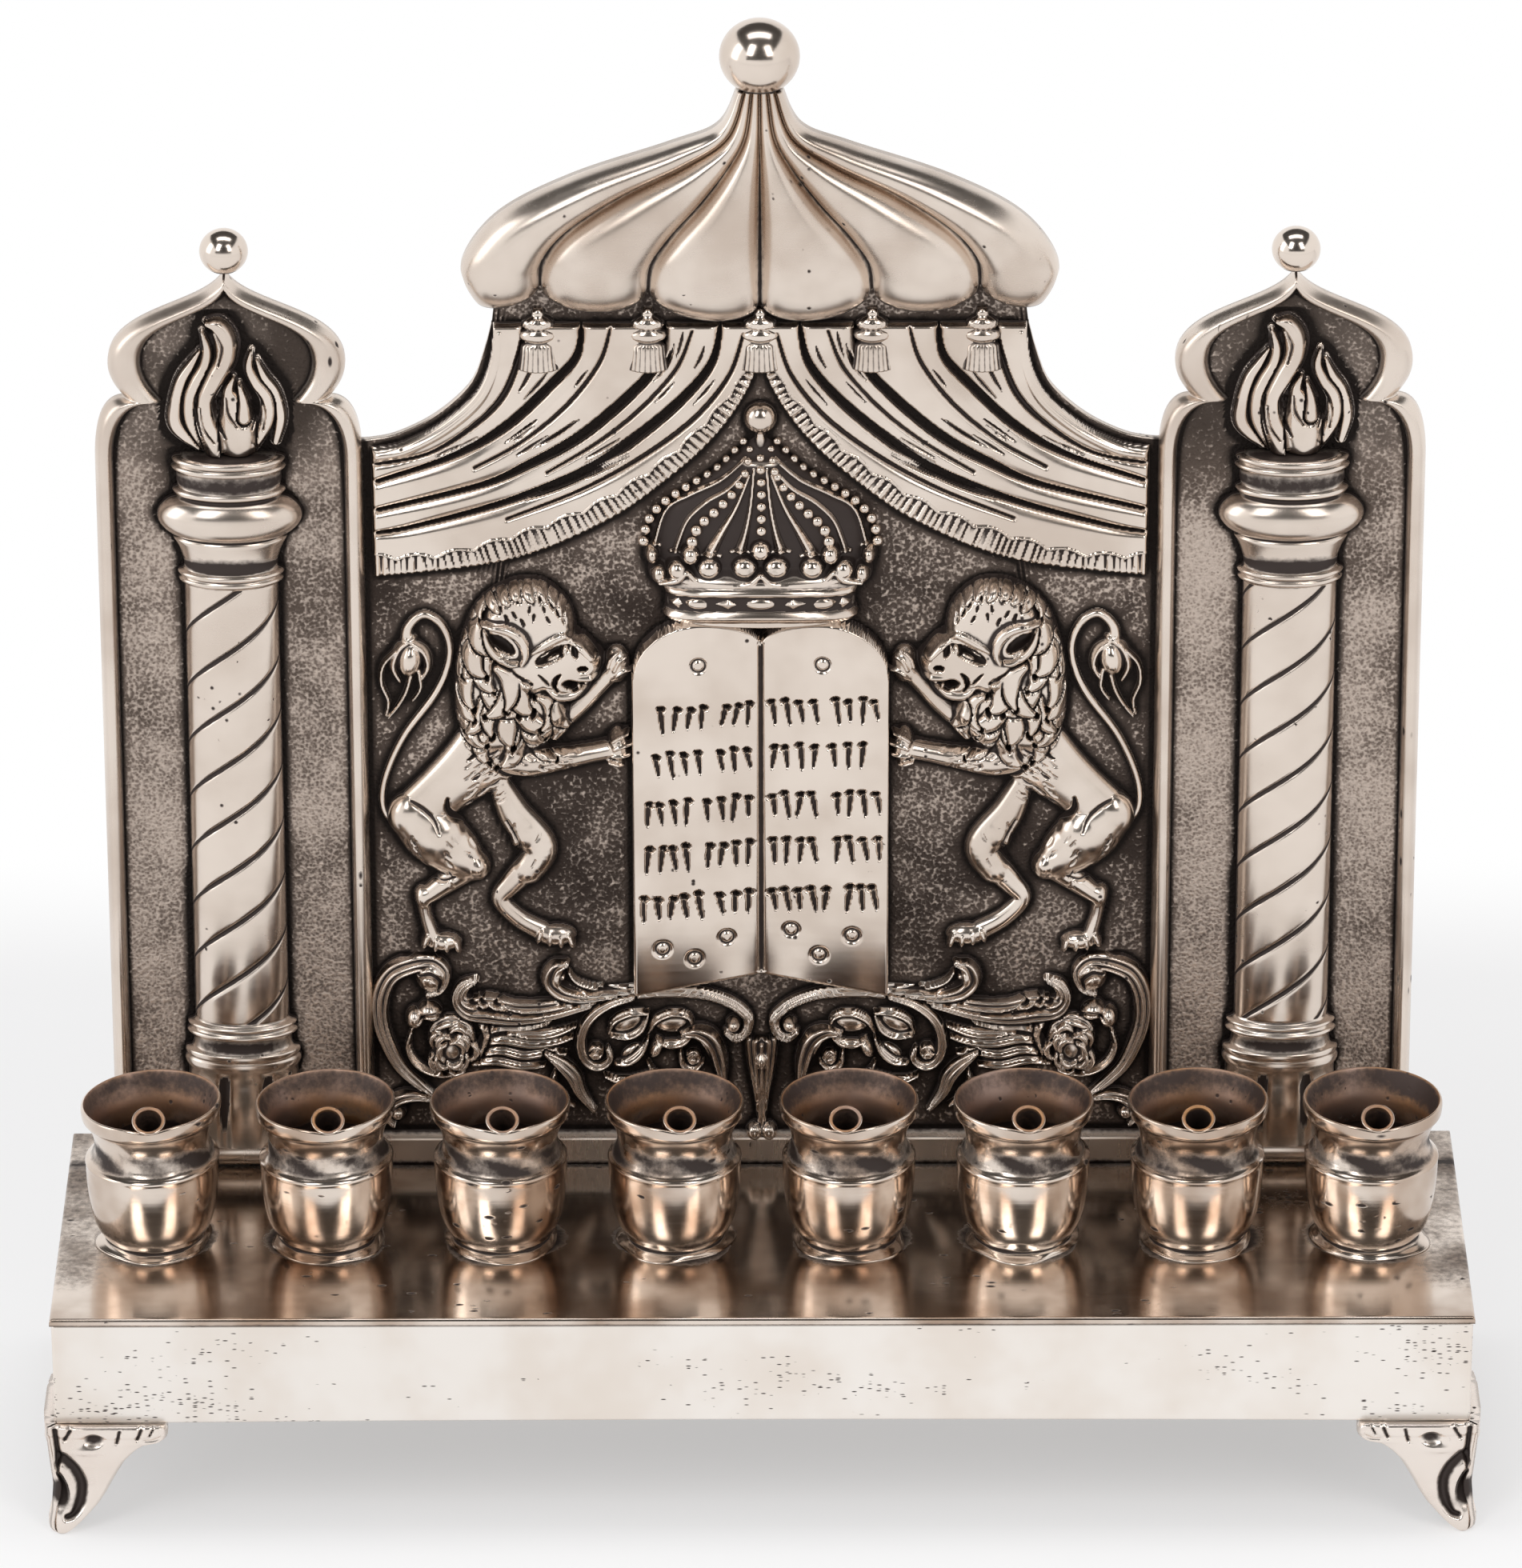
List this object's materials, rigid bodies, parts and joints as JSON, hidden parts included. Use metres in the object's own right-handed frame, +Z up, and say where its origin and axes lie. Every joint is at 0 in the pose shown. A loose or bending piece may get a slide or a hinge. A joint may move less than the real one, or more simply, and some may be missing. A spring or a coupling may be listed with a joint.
{
  "type": "hanukkah menorah",
  "caption": "Silver hanukkah menorah: footed bench with a row of oil cups before a relief plate of columns, lions, tablets, crown, curtains and canopy.",
  "frame": {"origin": "on the ground under the middle of the bench", "axes": "+Z up, -Y the front with the oil cups, +X to the viewer's right"},
  "size_m": [0.2334, 0.0704, 0.2412],
  "materials": {
    "polished_silver": "worn bright silver with brown tarnish in the hollows",
    "worn_silver": "rubbed silver with cloudy and pitted brown tarnish",
    "cup_silver": "spun silver, bright bellies, dark soot and oil residue inside and at the neck",
    "oxidised_silver": "matt stippled silver, oxidised brown-black"
  },
  "bodies": {
    "root": {"bench_top": "worn_silver", "bench_apron": "worn_silver", "foot_front_left": "polished_silver", "foot_front_right": "polished_silver", "foot_rear_left": "polished_silver", "foot_rear_right": "polished_silver", "oil_cup_1": "cup_silver", "wick_tube_1": "cup_silver", "oil_cup_2": "cup_silver", "wick_tube_2": "cup_silver", "oil_cup_3": "cup_silver", "wick_tube_3": "cup_silver", "oil_cup_4": "cup_silver", "wick_tube_4": "cup_silver", "oil_cup_5": "cup_silver", "wick_tube_5": "cup_silver", "oil_cup_6": "cup_silver", "wick_tube_6": "cup_silver", "oil_cup_7": "cup_silver", "wick_tube_7": "cup_silver", "oil_cup_8": "cup_silver", "wick_tube_8": "cup_silver", "column_panel_left": "worn_silver", "column_left": "worn_silver", "flame_left": "polished_silver", "panel_ball_left": "polished_silver", "column_panel_right": "worn_silver", "column_right": "worn_silver", "flame_right": "polished_silver", "panel_ball_right": "polished_silver", "centre_panel": "oxidised_silver", "canopy": "polished_silver", "canopy_ball": "polished_silver", "curtain_left": "worn_silver", "curtain_right": "worn_silver", "tassel_1": "polished_silver", "tassel_2": "polished_silver", "tassel_3": "polished_silver", "tassel_4": "polished_silver", "tassel_5": "polished_silver", "crown": "polished_silver", "tablets": "polished_silver", "lion_left": "polished_silver", "lion_right": "polished_silver", "scrollwork_left": "worn_silver", "scrollwork_right": "worn_silver", "scrollwork_drop": "worn_silver", "bracket_left": "worn_silver", "bracket_screw_left": "worn_silver", "bracket_nut_left": "worn_silver", "bracket_right": "worn_silver", "bracket_screw_right": "worn_silver", "bracket_nut_right": "worn_silver"}
  },
  "joints": []
}
